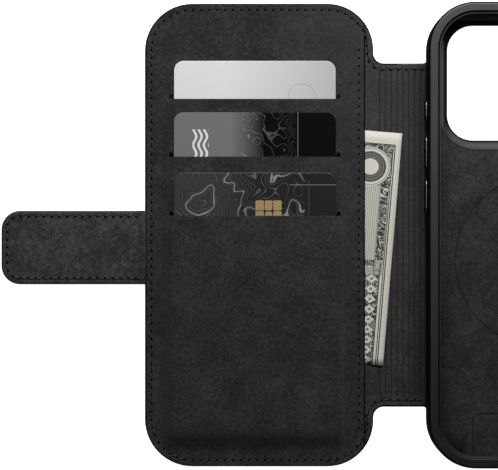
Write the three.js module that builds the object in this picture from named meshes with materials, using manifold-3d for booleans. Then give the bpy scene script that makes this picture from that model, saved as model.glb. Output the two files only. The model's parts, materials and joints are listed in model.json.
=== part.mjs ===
// A leather folio wallet for a flat phone, lying open with its lining up.
// Millimetres, +Z up. The origin is the centre of the shell's back leather, +Y is the camera end,
// and the spine, the cover and the closing strap reach out along -X.
import * as THREE from "three";
import { mergeVertices } from "three/addons/utils/BufferGeometryUtils.js";
import Module from "manifold-3d";

const wasm = await Module();
wasm.setup();

// The phone that the shell is made for.
const phone = { width: 71.9, length: 150, depth: 8.75, play: 0.2, corner: 13.4 };

// Shell: moulded bumper frame round a stiff tray, leather outside and microfibre inside.
const shell = {
  halfWidth: 38.3,
  halfLength: 77,
  corner: 15.6,
  edgeRound: 0.8,
  lipTop: 12.4,
  lipThick: 0.7,
  lipFlat: 3.1,
  lipBevel: 1.05,
};
const cavity = {
  halfWidth: phone.width / 2 + phone.play,
  halfLength: phone.length / 2 + phone.play,
};
const leatherThick = 1;
const skinGap = 0.05; // glue line between flat layers
const tray = { z0: leatherThick + skinGap, z1: 2.45, edgeGap: 0.15 };
const trayLining = { z0: tray.z1 + skinGap, z1: 2.9 };

// Camera opening, its bezel and the holes in the layers that the bezel passes through.
const camera = { halfWidth: 30.95, y0: 31.8, y1: 70.2, corner: 8.5 };
const bezel = { slope: 1.3, wall: 1.05, flange: 2.15, flangeY1: 73.9, flangeCorner: 12.9, holeGap: 0.3 };

// Magnets sealed in the tray and in the strap.
const ring = { y: -8.7, inner: 24.2, outer: 28.2, z0: 1.1, z1: 2.1 };
const alignBar = { width: 4, y0: -57, y1: -41 };
const catchPlate = { x0: 14.1, x1: 21.1, y: -4.2, halfLength: 5.5 };
const pocketGap = 0.3;

// Buttons: caps that ride in slots through the frame's two long sides.
const button = { proud: 0.75, inside: 0.2, z: 7.3, slotGap: 0.15 };
const buttons = [
  { name: "action_button", side: -1, y: 41.3, length: 6.2, height: 2.8 },
  { name: "volume_up_button", side: -1, y: 27.3, length: 10.4, height: 2.8 },
  { name: "volume_down_button", side: -1, y: 13, length: 10.4, height: 2.8 },
  { name: "side_button", side: 1, y: 20.3, length: 17, height: 2.8 },
  { name: "camera_control_button", side: 1, y: -28, length: 18, height: 3.4 },
];
const port = { halfWidth: 6.6, halfHeight: 3.3, slotX: 16.5, slotHalfWidth: 6.5, slotHalfHeight: 1.4 };

// Folds: hinge lines along Y at the top of the spine's lining.
const foldShell = -39.9;
const foldCover = -56;
const hingeGap = 0.1; // from a hinge line to the piece that turns on it
const foldRelief = 1.6; // from a hinge line back to the piece that it is carried by

// Spine: narrower than the shell, ribbed on its inside.
const spine = { halfLength: 57.4, flare: 3.7, liningTop: 1.5, ribPitch: 1.977, firstGroove: -53.83, groove: 0.2 };

// Cover: leather, board, lining, cash pocket and one panel with three card slits.
const cover = { x0: -132.2, halfLength: 77.4, cornerFree: 15.7, cornerFold: 15.2 };
const board = { z0: 1.04, z1: 1.54, inset: 0.6 };
const coverLining = { z0: 1.58, z1: 1.88, inset: 0.1 };
const note = { width: 66.3, length: 78, z0: 1.93, z1: 2.15, x: -82.47, y: -2.12, turn: -4.75 };
const backing = { z0: 2.2, z1: 2.4, inset: 0.5, x1: -60.5 };
const panel = { z0: 2.45, thick: 0.35, x1: -58.7, inset: 0.15, step: 1.21, slitHalfWidth: 28.8, topHalfWidth: 27.7 };
const card = { width: 53.98, length: 85.6, thick: 0.76, corner: 3.18, x: -95.55, z0: 2.85 };
const cardTops = [58.15, 40.9, 20.7];
const slits = [45.45, 26.1, 6.4];
const pocketBottom = -66.6;
const chip = { x0: -95.5, x1: -86.5, y0: 0.3, y1: 11.65, thick: 0.25, corner: 1.4 };

// Closing strap: sewn into the cover's free edge, folds round the shell's side onto its back.
const strap = { x0: -180.6, y: -4.2, halfWidth: 12.35, corner: 6.3, leatherTop: 0.6, top: 1.25 };
const strapRootFold = -134.65;
const strapTipFold = -152.85;
const strapTail = { x0: -132.85, x1: -125 };
const strapMagnet = { x0: -177.5, x1: -170.5, z0: 0.35, z1: 0.85 };

// Sewing thread, laid as one low bead along each row.
const thread = { width: 0.5, inset: 2.1, height: 0.15, sunk: 0.18 };

const finishes = {
  leather: { color: 0x2b2a2b, roughness: 0.62, metalness: 0 },
  lining: { color: 0x3a3a3a, roughness: 0.95, metalness: 0 },
  spineLining: { color: 0x343435, roughness: 0.9, metalness: 0 },
  frame: { color: 0x333334, roughness: 0.55, metalness: 0 },
  tray: { color: 0x222222, roughness: 0.5, metalness: 0 },
  bezel: { color: 0x55565a, roughness: 0.45, metalness: 0.2 },
  button: { color: 0x9a9ba0, roughness: 0.3, metalness: 1 },
  magnet: { color: 0xa5a7aa, roughness: 0.35, metalness: 1 },
  board: { color: 0x6b6259, roughness: 0.95, metalness: 0 },
  thread: { color: 0x0c0c0d, roughness: 0.7, metalness: 0 },
  silverCard: { color: 0xcfcfd2, roughness: 0.3, metalness: 0 },
  greyCard: { color: 0x6f6f72, roughness: 0.35, metalness: 0 },
  blackCard: { color: 0x1d1d1f, roughness: 0.35, metalness: 0 },
  contact: { color: 0xd8b25e, roughness: 0.3, metalness: 1 },
  paper: { color: 0xdad6c4, roughness: 0.9, metalness: 0 },
};
const arcSteps = 8;

// A rectangle from (x0, y0) to (x1, y1) with one radius for its left corners and one for its right.
function roundedRect(x0, y0, x1, y1, left, right = left) {
  const shape = new THREE.Shape();
  shape.moveTo(x0 + left, y0);
  shape.lineTo(x1 - right, y0);
  shape.absarc(x1 - right, y0 + right, right, -Math.PI / 2, 0, false);
  shape.lineTo(x1, y1 - right);
  shape.absarc(x1 - right, y1 - right, right, 0, Math.PI / 2, false);
  shape.lineTo(x0 + left, y1);
  shape.absarc(x0 + left, y1 - left, left, Math.PI / 2, Math.PI, false);
  shape.lineTo(x0, y0 + left);
  shape.absarc(x0 + left, y0 + left, left, Math.PI, Math.PI * 1.5, false);
  return shape;
}

// The centred form of roundedRect.
function centredRect(halfWidth, halfLength, radius) {
  return roundedRect(-halfWidth, -halfLength, halfWidth, halfLength, radius);
}

// A flat layer of an outline between two heights.
function layer(shape, z0, z1) {
  const options = { depth: z1 - z0, bevelEnabled: false, curveSegments: arcSteps };
  return solid(new THREE.ExtrudeGeometry(shape, options).translate(0, 0, z0));
}

// An outline at z0 that grows sideways by grow until z1 and goes straight up to zEnd.
function flared(shape, z0, z1, grow, zEnd) {
  const options = {
    depth: zEnd - z1,
    bevelEnabled: true,
    bevelThickness: z1 - z0,
    bevelSize: grow,
    bevelSegments: 1,
    curveSegments: arcSteps,
  };
  return solid(new THREE.ExtrudeGeometry(shape, options).translate(0, 0, z1));
}

// A block between two corners.
function block(x0, y0, z0, x1, y1, z1) {
  const box = new THREE.BoxGeometry(x1 - x0, y1 - y0, z1 - z0);
  return solid(box.translate((x0 + x1) / 2, (y0 + y1) / 2, (z0 + z1) / 2));
}

// A slot-shaped bar through a long side: it runs along X, and its outline lies in Y and Z.
function sideBar(x0, x1, y, z, halfLength, halfHeight) {
  const outline = centredRect(halfLength, halfHeight, halfHeight - 0.01);
  const bar = new THREE.ExtrudeGeometry(outline, { depth: x1 - x0, bevelEnabled: false, curveSegments: 4 });
  const toSide = new THREE.Matrix4().makeBasis(
    new THREE.Vector3(0, 1, 0),
    new THREE.Vector3(0, 0, 1),
    new THREE.Vector3(1, 0, 0),
  );
  return solid(bar.applyMatrix4(toSide).translate(x0, y, z));
}

// The same through the shell's bottom end: it runs along -Y, and its outline lies in X and Z.
function endBar(y0, y1, x, z, halfWidth, halfHeight) {
  const outline = centredRect(halfWidth, halfHeight, halfHeight - 0.01);
  const bar = new THREE.ExtrudeGeometry(outline, { depth: y1 - y0, bevelEnabled: false, curveSegments: 4 });
  const toEnd = new THREE.Matrix4().makeBasis(
    new THREE.Vector3(1, 0, 0),
    new THREE.Vector3(0, 0, 1),
    new THREE.Vector3(0, -1, 0),
  );
  return solid(bar.applyMatrix4(toEnd).translate(x, y1, z));
}

// A profile in X and Z, given as corner points, run along Y.
function runAlongY(points, y0, y1) {
  const outline = new THREE.Shape(points.map(([x, z]) => new THREE.Vector2(x, z)));
  const bar = new THREE.ExtrudeGeometry(outline, { depth: y1 - y0, bevelEnabled: false });
  const toY = new THREE.Matrix4().makeBasis(
    new THREE.Vector3(1, 0, 0),
    new THREE.Vector3(0, 0, 1),
    new THREE.Vector3(0, -1, 0),
  );
  return solid(bar.applyMatrix4(toY).translate(0, y1, 0));
}

function solid(geometry) {
  const bare = geometry.index ? geometry.toNonIndexed() : geometry.clone();
  bare.deleteAttribute("normal");
  bare.deleteAttribute("uv");
  const merged = mergeVertices(bare, 1e-4);
  const vertProperties = new Float32Array(merged.attributes.position.array);
  const triVerts = new Uint32Array(merged.index.array);
  return new wasm.Manifold(new wasm.Mesh({ numProp: 3, vertProperties, triVerts }));
}

function piece(name, made, finish) {
  const { vertProperties, triVerts } = made.getMesh();
  const geometry = new THREE.BufferGeometry();
  geometry.setAttribute("position", new THREE.BufferAttribute(new Float32Array(vertProperties), 3));
  geometry.setIndex(new THREE.BufferAttribute(new Uint32Array(triVerts), 1));
  geometry.computeVertexNormals();
  const mesh = new THREE.Mesh(geometry, new THREE.MeshStandardMaterial(finishes[finish]));
  mesh.name = name;
  return mesh;
}

// The camera opening's outline, grown by a margin on every side.
function cameraOutline(grow) {
  const { halfWidth, y0, y1, corner } = camera;
  return roundedRect(-halfWidth - grow, y0 - grow, halfWidth + grow, y1 + grow, corner + grow);
}

function cameraHole(z0, z1) {
  const grow = bezel.slope + bezel.wall + bezel.holeGap;
  return layer(cameraOutline(grow), z0 - 1, z1 + 1);
}

// The outline of the bezel's flange, grown by a margin on every side.
function flangeOutline(grow) {
  const reach = camera.halfWidth + bezel.slope + bezel.flange + grow;
  const low = camera.y0 - bezel.slope - bezel.flange - grow;
  return roundedRect(-reach, low, reach, bezel.flangeY1 + grow, bezel.flangeCorner + grow);
}

function makeBumperFrame() {
  const { halfWidth, halfLength, corner, edgeRound, lipTop, lipThick, lipFlat, lipBevel } = shell;
  const outer = centredRect(halfWidth - edgeRound, halfLength - edgeRound, corner - edgeRound);
  const options = {
    depth: lipTop - tray.z0 - 2 * edgeRound,
    bevelEnabled: true,
    bevelThickness: edgeRound,
    bevelSize: edgeRound,
    bevelSegments: 3,
    curveSegments: arcSteps,
  };
  let made = solid(new THREE.ExtrudeGeometry(outer, options).translate(0, 0, tray.z0 + edgeRound));
  const inside = centredRect(cavity.halfWidth, cavity.halfLength, phone.corner);
  made = made.subtract(layer(inside, 0, lipTop - lipThick));
  const reach = lipFlat + lipBevel;
  const mouth = centredRect(halfWidth - reach, halfLength - reach, corner - reach);
  made = made.subtract(flared(mouth, lipTop - lipThick, lipTop, lipBevel, lipTop + 1));
  for (const b of buttons) {
    const near = b.side * (cavity.halfWidth - 2);
    const far = b.side * (halfWidth + 2);
    const x0 = Math.min(near, far);
    const x1 = Math.max(near, far);
    const halfLen = b.length / 2 + button.slotGap;
    const halfHigh = b.height / 2 + button.slotGap;
    made = made.subtract(sideBar(x0, x1, b.y, button.z, halfLen, halfHigh));
  }
  const wall0 = -halfLength - 2;
  const wall1 = -cavity.halfLength + 2;
  made = made.subtract(endBar(wall0, wall1, 0, button.z, port.halfWidth, port.halfHeight));
  for (const side of [-1, 1]) {
    const slot = endBar(wall0, wall1, side * port.slotX, button.z, port.slotHalfWidth, port.slotHalfHeight);
    made = made.subtract(slot);
  }
  return piece("bumper_frame", made, "frame");
}

// A flat ring: the lathe turns about Y, and a quarter turn stands its axis on Z.
function ringSolid(inner, outer, z0, z1) {
  const profile = [
    new THREE.Vector2(inner, z0),
    new THREE.Vector2(outer, z0),
    new THREE.Vector2(outer, z1),
    new THREE.Vector2(inner, z1),
    new THREE.Vector2(inner, z0),
  ];
  const turned = new THREE.LatheGeometry(profile, 48).rotateX(Math.PI / 2);
  return solid(turned.translate(0, ring.y, 0));
}

function makeShell() {
  const group = new THREE.Group();
  group.add(makeBumperFrame());
  const leatherInset = 0.4;
  const leatherOutline = centredRect(
    shell.halfWidth - leatherInset,
    shell.halfLength - leatherInset,
    shell.corner - leatherInset,
  );
  const leather = layer(leatherOutline, 0, leatherThick).subtract(cameraHole(0, leatherThick));
  group.add(piece("back_leather", leather, "leather"));

  const trayOutline = centredRect(
    cavity.halfWidth - tray.edgeGap,
    cavity.halfLength - tray.edgeGap,
    phone.corner - tray.edgeGap,
  );
  let plate = layer(trayOutline, tray.z0, tray.z1).subtract(cameraHole(tray.z0, tray.z1));
  const pocketTop = ring.z1 + skinGap;
  plate = plate.subtract(ringSolid(ring.inner - pocketGap, ring.outer + pocketGap, 0, pocketTop));
  const { width, y0, y1 } = alignBar;
  const g = pocketGap;
  plate = plate.subtract(block(-width / 2 - g, y0 - g, 0, width / 2 + g, y1 + g, pocketTop));
  const c = catchPlate;
  plate = plate.subtract(
    block(c.x0 - g, c.y - c.halfLength - g, 0, c.x1 + g, c.y + c.halfLength + g, pocketTop),
  );
  group.add(piece("back_tray", plate, "tray"));

  const lining = layer(trayOutline, trayLining.z0, trayLining.z1);
  const flangeHole = layer(flangeOutline(bezel.holeGap), trayLining.z0 - 1, trayLining.z1 + 1);
  group.add(piece("tray_lining", lining.subtract(flangeHole), "lining"));

  group.add(piece("magnet_ring", ringSolid(ring.inner, ring.outer, ring.z0, ring.z1), "magnet"));
  const bar = layer(roundedRect(-width / 2, y0, width / 2, y1, 0.8), ring.z0, ring.z1);
  group.add(piece("alignment_magnet", bar, "magnet"));
  const plateOutline = roundedRect(c.x0, c.y - c.halfLength, c.x1, c.y + c.halfLength, 0.8);
  group.add(piece("strap_catch_magnet", layer(plateOutline, ring.z0, ring.z1), "magnet"));
  group.add(makeBezel());
  return group;
}

// The flange lies in the lining's own layer, so that the phone's back rests flat on both.
function makeBezel() {
  const { z0, z1 } = trayLining;
  const neck = layer(cameraOutline(bezel.slope + bezel.wall), 0, z1);
  const flange = layer(flangeOutline(0), z0, z1);
  const through = flared(cameraOutline(0), 0, z1, bezel.slope, z1 + 1);
  const below = layer(cameraOutline(0), -1, 0.5);
  return piece("camera_bezel", neck.add(flange).subtract(through).subtract(below), "bezel");
}

function makeButtons() {
  const group = new THREE.Group();
  for (const b of buttons) {
    const inner = b.side * (cavity.halfWidth + button.inside);
    const outer = b.side * (shell.halfWidth + button.proud);
    const x0 = Math.min(inner, outer);
    const x1 = Math.max(inner, outer);
    group.add(piece(b.name, sideBar(x0, x1, b.y, button.z, b.length / 2, b.height / 2), "button"));
  }
  return group;
}

// The spine's outline with its hollow flares towards the cover, cut back from both folds.
function spineOutline() {
  const { halfLength, flare } = spine;
  const shape = new THREE.Shape();
  const wide = halfLength + flare;
  shape.moveTo(foldCover, -wide);
  shape.absarc(foldCover + flare, -wide, flare, Math.PI, Math.PI / 2, true);
  shape.lineTo(foldShell - hingeGap, -halfLength);
  shape.lineTo(foldShell - hingeGap, halfLength);
  shape.lineTo(foldCover + flare, halfLength);
  shape.absarc(foldCover + flare, wide, flare, -Math.PI / 2, -Math.PI, true);
  return shape;
}

function makeSpine() {
  const group = new THREE.Group();
  const x0 = foldCover + foldRelief;
  const keep = block(x0, -90, -1, foldShell, 90, 5);
  group.add(piece("spine_leather", layer(spineOutline(), 0, leatherThick).intersect(keep), "leather"));

  const liningZ = leatherThick + skinGap;
  let lining = layer(spineOutline(), liningZ, spine.liningTop).intersect(keep);
  for (let x = spine.firstGroove; x < foldShell; x += spine.ribPitch) {
    const top = spine.liningTop;
    const side = spine.groove;
    const groove = [
      [x, top - spine.groove],
      [x + side, top + 0.1],
      [x - side, top + 0.1],
    ];
    lining = lining.subtract(runAlongY(groove, -spine.halfLength + 3.4, spine.halfLength - 3.4));
  }
  group.add(piece("spine_lining", lining, "spineLining"));
  for (const [end, sign] of [["upper", 1], ["lower", -1]]) {
    const y = sign * (spine.halfLength - thread.inset);
    const z = spine.liningTop + skinGap;
    const row = block(x0 + 0.3, y - thread.width / 2, z, foldShell - 0.4, y + thread.width / 2, z + thread.height);
    group.add(piece("spine_thread_" + end, row, "thread"));
  }
  return group;
}

// One flat layer of the cover, drawn in from its edge by inset, and cut off at x1 if that is given.
function coverLayer(inset, z0, z1, x1 = 0) {
  const { x0, halfLength, cornerFree, cornerFold } = cover;
  const right = foldCover - hingeGap - (inset > 1 ? inset : 0);
  const outline = roundedRect(x0 + inset, -halfLength + inset, right, halfLength - inset,
    cornerFree - inset, cornerFold - inset);
  const sheet = layer(outline, z0, z1);
  if (x1 === 0) return sheet;
  return sheet.intersect(block(x0 - 1, -90, z0 - 1, x1, 90, z1 + 1));
}

// The card panel's raised channel over the cards: an upturned trough from y0 to y1.
function channel(level, y0, y1, hollow = true) {
  const foot = panel.slitHalfWidth + 0.15;
  const top = panel.z0 + panel.thick + level * panel.step;
  const t = panel.thick;
  const outer = [
    [card.x - foot, panel.z0],
    [card.x - panel.topHalfWidth, top],
    [card.x + panel.topHalfWidth, top],
    [card.x + foot, panel.z0],
  ];
  const inner = [
    [card.x + foot - t, panel.z0],
    [card.x + panel.topHalfWidth - t, top - t],
    [card.x - panel.topHalfWidth + t, top - t],
    [card.x - foot + t, panel.z0],
  ];
  return runAlongY(hollow ? [...outer, ...inner] : outer, y0, y1);
}

function coverThreadRow(z0, z1, half) {
  const outside = coverLayer(thread.inset - half, z0, z1, panel.x1 - 0.5 + half);
  const inside = coverLayer(thread.inset + half, z0 - 1, z1 + 1);
  return outside.subtract(inside);
}

function hemRow(z0, z1, half) {
  const x = panel.x1 - thread.inset;
  return block(x - half, -61 - half, z0, x + half, 61 + half, z1);
}

function makeCardPanel() {
  const top = panel.z0 + panel.thick;
  let made = coverLayer(panel.inset, panel.z0, top, panel.x1);
  const w = panel.slitHalfWidth;
  made = made.subtract(block(card.x - w, pocketBottom, 0, card.x + w, slits[0], 9));
  const ends = [...slits, pocketBottom];
  slits.forEach((slit, i) => {
    made = made.add(channel(i + 1, ends[i + 1], slit));
  });
  made = made.add(channel(slits.length, pocketBottom - panel.thick, pocketBottom + 0.01, false));
  const grooveHalf = thread.width / 2 + 0.15;
  made = made.subtract(coverThreadRow(top - thread.sunk - 0.02, top + 1, grooveHalf));
  made = made.subtract(hemRow(top - thread.sunk - 0.02, top + 1, grooveHalf));
  return piece("card_panel", made, "lining");
}

function makeNotes() {
  const { width, length, z0, z1, x, y, turn } = note;
  const sheet = new THREE.BoxGeometry(width, length, z1 - z0);
  sheet.rotateZ(THREE.MathUtils.degToRad(turn)).translate(x, y, (z0 + z1) / 2);
  const whole = solid(sheet);
  const onCover = whole.intersect(block(-200, -90, 0, foldCover - hingeGap, 90, 9));
  const onSpine = whole.intersect(block(foldCover + foldRelief, -90, 0, 0, 90, 9));
  return [piece("banknote", onCover, "paper"), piece("banknote_end", onSpine, "paper")];
}

function makeCover() {
  const group = new THREE.Group();
  const { y, halfWidth } = strap;
  group.add(piece("cover_leather", coverLayer(0, 0, leatherThick), "leather"));
  const tailNotch = block(-140, y - halfWidth - 0.3, 0, strapTail.x1 + 0.3, y + halfWidth + 0.3, 9);
  group.add(piece("cover_board", coverLayer(board.inset, board.z0, board.z1).subtract(tailNotch), "board"));
  group.add(piece("cover_lining", coverLayer(coverLining.inset, coverLining.z0, coverLining.z1), "lining"));
  group.add(piece("pocket_backing", coverLayer(backing.inset, backing.z0, backing.z1, backing.x1), "lining"));
  group.add(makeCardPanel());
  const top = panel.z0 + panel.thick;
  group.add(piece("cover_thread", coverThreadRow(top - thread.sunk, top, thread.width / 2), "thread"));
  group.add(piece("panel_thread", hemRow(top - thread.sunk, top, thread.width / 2), "thread"));
  const tail = block(strapTail.x0, y - halfWidth, board.z0, strapTail.x1, y + halfWidth, board.z1);
  group.add(piece("strap_tail", tail, "leather"));
  return group;
}

function makeCards() {
  const group = new THREE.Group();
  const names = ["card_one", "card_two", "card_three"];
  const cardFinishes = ["silverCard", "greyCard", "blackCard"];
  const half = card.width / 2;
  names.forEach((name, i) => {
    const z0 = card.z0 + i * panel.step;
    const z1 = z0 + card.thick;
    const outline = roundedRect(card.x - half, cardTops[i] - card.length, card.x + half, cardTops[i], card.corner);
    let made = layer(outline, z0, z1);
    if (i === names.length - 1) {
      const { x0, x1, y0, y1, thick, corner } = chip;
      const seat = roundedRect(x0 - 0.3, y0 - 0.3, x1 + 0.3, y1 + 0.3, corner + 0.3);
      made = made.subtract(layer(seat, z1 - thick - skinGap, z1 + 1));
      group.add(piece("card_chip", layer(roundedRect(x0, y0, x1, y1, corner), z1 - thick, z1), "contact"));
    }
    group.add(piece(name, made, cardFinishes[i]));
  });
  return group;
}

// One layer of the strap between two X positions.
function strapLayer(z0, z1, x0, x1) {
  const { y, halfWidth, corner } = strap;
  const outline = roundedRect(strap.x0, y - halfWidth, 0, y + halfWidth, corner);
  return layer(outline, z0, z1).intersect(block(x0, -90, z0 - 1, x1, 90, z1 + 1));
}

// The strap's row of thread, from half a bead inside the row to half a bead outside it.
function strapThreadRow(x0, x1) {
  const z0 = strap.top + skinGap;
  const z1 = z0 + thread.height;
  const { y, halfWidth, corner } = strap;
  const row = (inset, a, b) =>
    layer(
      roundedRect(strap.x0 + inset, y - halfWidth + inset, 0, y + halfWidth - inset, corner - inset),
      a, b,
    );
  const half = thread.width / 2;
  const outside = row(thread.inset - half, z0, z1).intersect(block(x0, -90, 0, x1, 90, 9));
  return outside.subtract(row(thread.inset + half, z0 - 1, z1 + 1));
}

function makeStrapRoot() {
  const group = new THREE.Group();
  const x0 = strapTipFold + foldRelief;
  const x1 = strapRootFold - hingeGap;
  const z = strap.leatherTop;
  group.add(piece("strap_root_leather", strapLayer(0, z, x0, x1), "leather"));
  group.add(piece("strap_root_lining", strapLayer(z + skinGap, strap.top, x0, x1), "lining"));
  const rows = strapThreadRow(x0 + 0.3, x1 - 0.3);
  const upperHalf = block(-200, strap.y, 0, 0, 90, 9);
  group.add(piece("strap_root_thread_upper", rows.intersect(upperHalf), "thread"));
  group.add(piece("strap_root_thread_lower", rows.subtract(upperHalf), "thread"));
  return group;
}

function makeStrapTip() {
  const group = new THREE.Group();
  const x1 = strapTipFold - hingeGap;
  const z = strap.leatherTop;
  const m = strapMagnet;
  const { y } = strap;
  const g = pocketGap;
  const half = catchPlate.halfLength;
  const pocket = block(m.x0 - g, y - half - g, m.z0 - skinGap, m.x1 + g, y + half + g, m.z1 + skinGap);
  group.add(piece("strap_tip_leather", strapLayer(0, z, strap.x0, x1).subtract(pocket), "leather"));
  const lining = strapLayer(z + skinGap, strap.top, strap.x0, x1).subtract(pocket);
  group.add(piece("strap_tip_lining", lining, "lining"));
  const magnetOutline = roundedRect(m.x0, y - half, m.x1, y + half, 0.8);
  group.add(piece("strap_magnet", layer(magnetOutline, m.z0, m.z1), "magnet"));
  group.add(piece("strap_tip_thread", strapThreadRow(strap.x0, x1 - 0.3), "thread"));
  return group;
}

const wallet = new THREE.Group();
wallet.add(makeShell());
wallet.add(makeButtons());
wallet.add(makeSpine());
wallet.add(makeCover());
wallet.add(...makeNotes());
wallet.add(makeCards());
wallet.add(makeStrapRoot());
wallet.add(makeStrapTip());

export default wallet;
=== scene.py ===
import json
import math

import bmesh
import bpy
from mathutils import Matrix, Vector


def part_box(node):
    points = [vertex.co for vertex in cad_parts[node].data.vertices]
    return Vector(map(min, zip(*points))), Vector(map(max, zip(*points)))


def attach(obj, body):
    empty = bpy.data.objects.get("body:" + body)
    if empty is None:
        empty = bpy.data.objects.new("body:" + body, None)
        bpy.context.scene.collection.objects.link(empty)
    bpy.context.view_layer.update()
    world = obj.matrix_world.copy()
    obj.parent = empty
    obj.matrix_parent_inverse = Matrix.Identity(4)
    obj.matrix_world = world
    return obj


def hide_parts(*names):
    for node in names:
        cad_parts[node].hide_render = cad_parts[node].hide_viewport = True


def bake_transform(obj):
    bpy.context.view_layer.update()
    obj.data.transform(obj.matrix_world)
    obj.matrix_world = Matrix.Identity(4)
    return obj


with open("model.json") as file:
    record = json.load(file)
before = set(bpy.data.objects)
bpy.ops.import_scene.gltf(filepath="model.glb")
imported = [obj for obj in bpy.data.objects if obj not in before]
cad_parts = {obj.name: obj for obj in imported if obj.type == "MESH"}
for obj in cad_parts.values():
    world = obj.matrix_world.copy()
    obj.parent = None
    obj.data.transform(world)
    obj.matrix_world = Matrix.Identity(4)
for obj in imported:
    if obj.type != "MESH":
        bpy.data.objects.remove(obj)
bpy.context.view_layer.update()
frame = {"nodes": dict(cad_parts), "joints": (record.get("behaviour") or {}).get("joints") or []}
mm = 0.001
tiny = 1e-4  # two heights closer than this, in mm, are the same
scene = bpy.context.scene


# Everything below is modelled in millimetres and scaled to metres when a piece is finished.
def span(node):
    low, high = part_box(node)
    return low / mm, high / mm


def linked(name, data):
    made = bpy.data.objects.new(name, data)
    scene.collection.objects.link(made)
    return made


def smoothStep(value):
    t = min(max(value, 0.0), 1.0)
    return t * t * (3 - 2 * t)


shellLow, shellHigh = span("bumper_frame")
coverLow, coverHigh = span("cover_leather")
tipLow, tipHigh = span("strap_tip_lining")
hinges = {joint["name"]: joint["pos_m"] for joint in frame["joints"] if joint["type"] == "hinge"}
foldX = {name: place[0] / mm for name, place in hinges.items()}
foldReach = 1.6  # how far each side of a hinge line the fold cuts reach


# camera, light and floor
studio = {
    "cameraX": -97.5 * mm,
    "cameraHeight": 600 * mm,
    "lens": 129.1,
    "sensor": 36,
    "nearest": 0.01,
    "skyTone": 0.13,
    "floorDrop": 0.25 * mm,
    "floorHalf": 3,
    "floorPaint": {
        "Base Color": (0.9, 0.9, 0.9, 1), "Roughness": 0.9, "Specular IOR Level": 0,
        "Emission Color": (1, 1, 1, 1), "Emission Strength": 1.0,
    },
    "softboxes": [
        # where, where it looks, width, length, watts
        ((-0.02, 0.28, 0.29), (-0.05, 0, 0), 0.36, 0.2, 2.55),
    ],
}


def makeStudio(look):
    camera = bpy.data.cameras.new("camera")
    camera.lens = look["lens"]
    camera.sensor_width = look["sensor"]
    camera.clip_start = look["nearest"]
    viewer = linked("camera", camera)
    viewer.location = (look["cameraX"], 0, look["cameraHeight"])
    scene.camera = viewer
    for place, aim, width, length, watts in look["softboxes"]:
        lamp = bpy.data.lights.new("softbox", "AREA")
        lamp.shape = "RECTANGLE"
        lamp.size = width
        lamp.size_y = length
        lamp.energy = watts
        holder = linked("softbox", lamp)
        holder.location = place
        holder.rotation_euler = (Vector(aim) - Vector(place)).to_track_quat("-Z", "Y").to_euler()
        holder.visible_camera = False
    world = bpy.data.worlds.new("sky")
    world.use_nodes = True
    background = world.node_tree.nodes["Background"]
    background.inputs["Color"].default_value = (1, 1, 1, 1)
    background.inputs["Strength"].default_value = look["skyTone"]
    scene.world = world
    scene.view_settings.view_transform = "Standard"
    floorMesh = bmesh.new()
    bmesh.ops.create_grid(floorMesh, x_segments=1, y_segments=1, size=look["floorHalf"])
    bmesh.ops.translate(floorMesh, vec=(0, 0, -look["floorDrop"]), verts=floorMesh.verts)
    mesh = bpy.data.meshes.new("studio_floor")
    floorMesh.to_mesh(mesh)
    floorMesh.free()
    paint = bpy.data.materials.new("floorPaint")
    paint.use_nodes = True
    for key, value in look["floorPaint"].items():
        paint.node_tree.nodes["Principled BSDF"].inputs[key].default_value = value
    mesh.materials.append(paint)
    floor = linked("studio_floor", mesh)
    floor.visible_diffuse = False
    floor.visible_glossy = False
    print("studio ready")


makeStudio(studio)


# outlines that the leather, the linings and their materials share
hide = {
    "spineHalf": 57.4,
    "flare": 3.7,
    "cornerFree": 15.7,
    "cornerFold": 15.2,
    "ribPitch": 1.977,
    "firstGroove": -53.83,
    "seamGroove": 3,  # the layers are parted in this groove
    "leatherTop": 1.02,
    "edge": 0.3,
    "proud": 0.22,
    "shellInset": 0.4,
    "shellFlare": 1.2,
}


# shader tools
class Field:
    # a socket whose + - * / write Math nodes
    def __init__(self, paint, socket):
        self.paint = paint
        self.socket = socket

    def math(self, operation, first, second=None):
        inputs = {0: first} if second is None else {0: first, 1: second}
        return self.paint.node("Math", {"operation": operation}, inputs)

    def __add__(self, other):
        return self.math("ADD", self, other)

    def __sub__(self, other):
        return self.math("SUBTRACT", self, other)

    def __rsub__(self, other):
        return self.math("SUBTRACT", other, self)

    def __mul__(self, other):
        return self.math("MULTIPLY", self, other)

    def __rmul__(self, other):
        return self.math("MULTIPLY", other, self)

    def __truediv__(self, other):
        return self.math("DIVIDE", self, other)

    def __lt__(self, other):
        return self.math("LESS_THAN", self, other)

    def __gt__(self, other):
        return self.math("GREATER_THAN", self, other)

    def __abs__(self):
        return self.math("ABSOLUTE", self)

    def sine(self):
        return self.math("SINE", self)

    def root(self):
        return self.math("SQRT", self)

    def fraction(self):
        return self.math("FRACT", self)

    def clamped(self):
        return self.paint.node("Clamp", {}, {0: self})


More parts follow.
